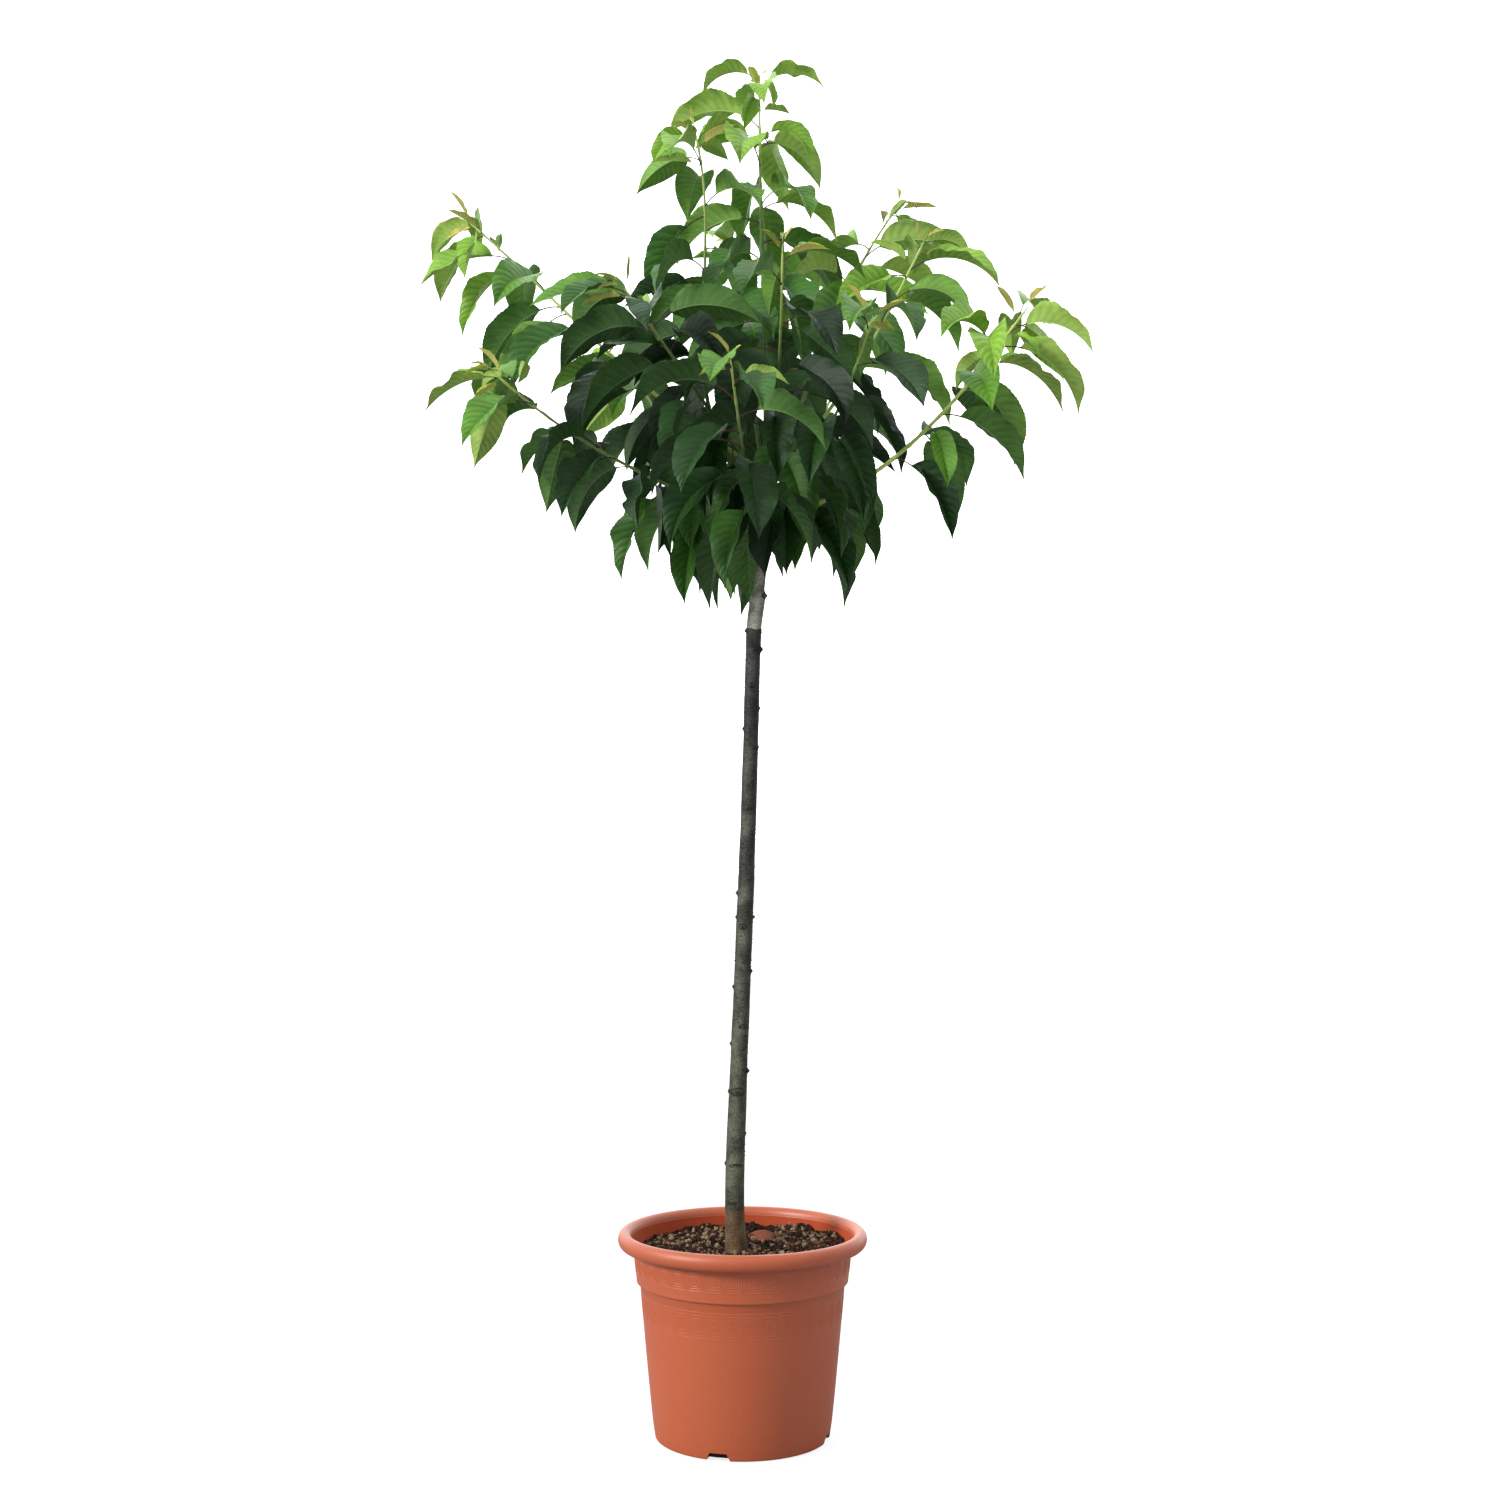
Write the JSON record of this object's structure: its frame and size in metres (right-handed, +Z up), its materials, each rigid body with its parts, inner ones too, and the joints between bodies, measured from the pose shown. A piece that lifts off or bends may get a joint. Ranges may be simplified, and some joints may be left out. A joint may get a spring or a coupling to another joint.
{
  "type": "potted sweet cherry tree",
  "caption": "Young half-standard sweet cherry in a round terracotta-coloured pot: bare grafted stem, open crown of upright and spreading leafy shoots.",
  "frame": {"origin": "centre of the pot's flat underside, on the ground", "axes": "+Z up along the stem; the picture looks along +Y, so -Y is the front and +X is to its right"},
  "size_m": [0.9237, 0.8464, 1.949],
  "materials": {
    "pot": "satin moulded",
    "soil": "loose and matt",
    "stem_bark": "grey bark",
    "shoot_bark": "smooth green bark",
    "foliage": "semi-gloss leaf"
  },
  "bodies": {
    "root": {"pot": "pot", "soil": "soil", "stem": "stem_bark", "bough_leader": "shoot_bark", "bough_left_leader": "shoot_bark", "bough_upright_front": "shoot_bark", "bough_right_upper": "shoot_bark", "bough_right_middle": "shoot_bark", "bough_right_low": "shoot_bark", "bough_left_middle": "shoot_bark", "bough_far_left": "shoot_bark", "bough_left_low": "shoot_bark", "bough_back_upper": "shoot_bark", "bough_back_right": "shoot_bark", "bough_back_left": "shoot_bark", "bough_back_low": "shoot_bark", "bough_front_low": "shoot_bark", "bough_front_right": "shoot_bark", "foliage_leader": "foliage", "foliage_left_leader": "foliage", "foliage_upright_front": "foliage", "foliage_right_upper": "foliage", "foliage_right_middle": "foliage", "foliage_right_low": "foliage", "foliage_left_middle": "foliage", "foliage_far_left": "foliage", "foliage_left_low": "foliage", "foliage_back_upper": "foliage", "foliage_back_right": "foliage", "foliage_back_left": "foliage", "foliage_back_low": "foliage", "foliage_front_low": "foliage", "foliage_front_right": "foliage", "spur_front": "foliage", "spur_front_left": "foliage", "spur_left": "foliage", "spur_right": "foliage", "spur_back": "foliage"}
  },
  "joints": []
}
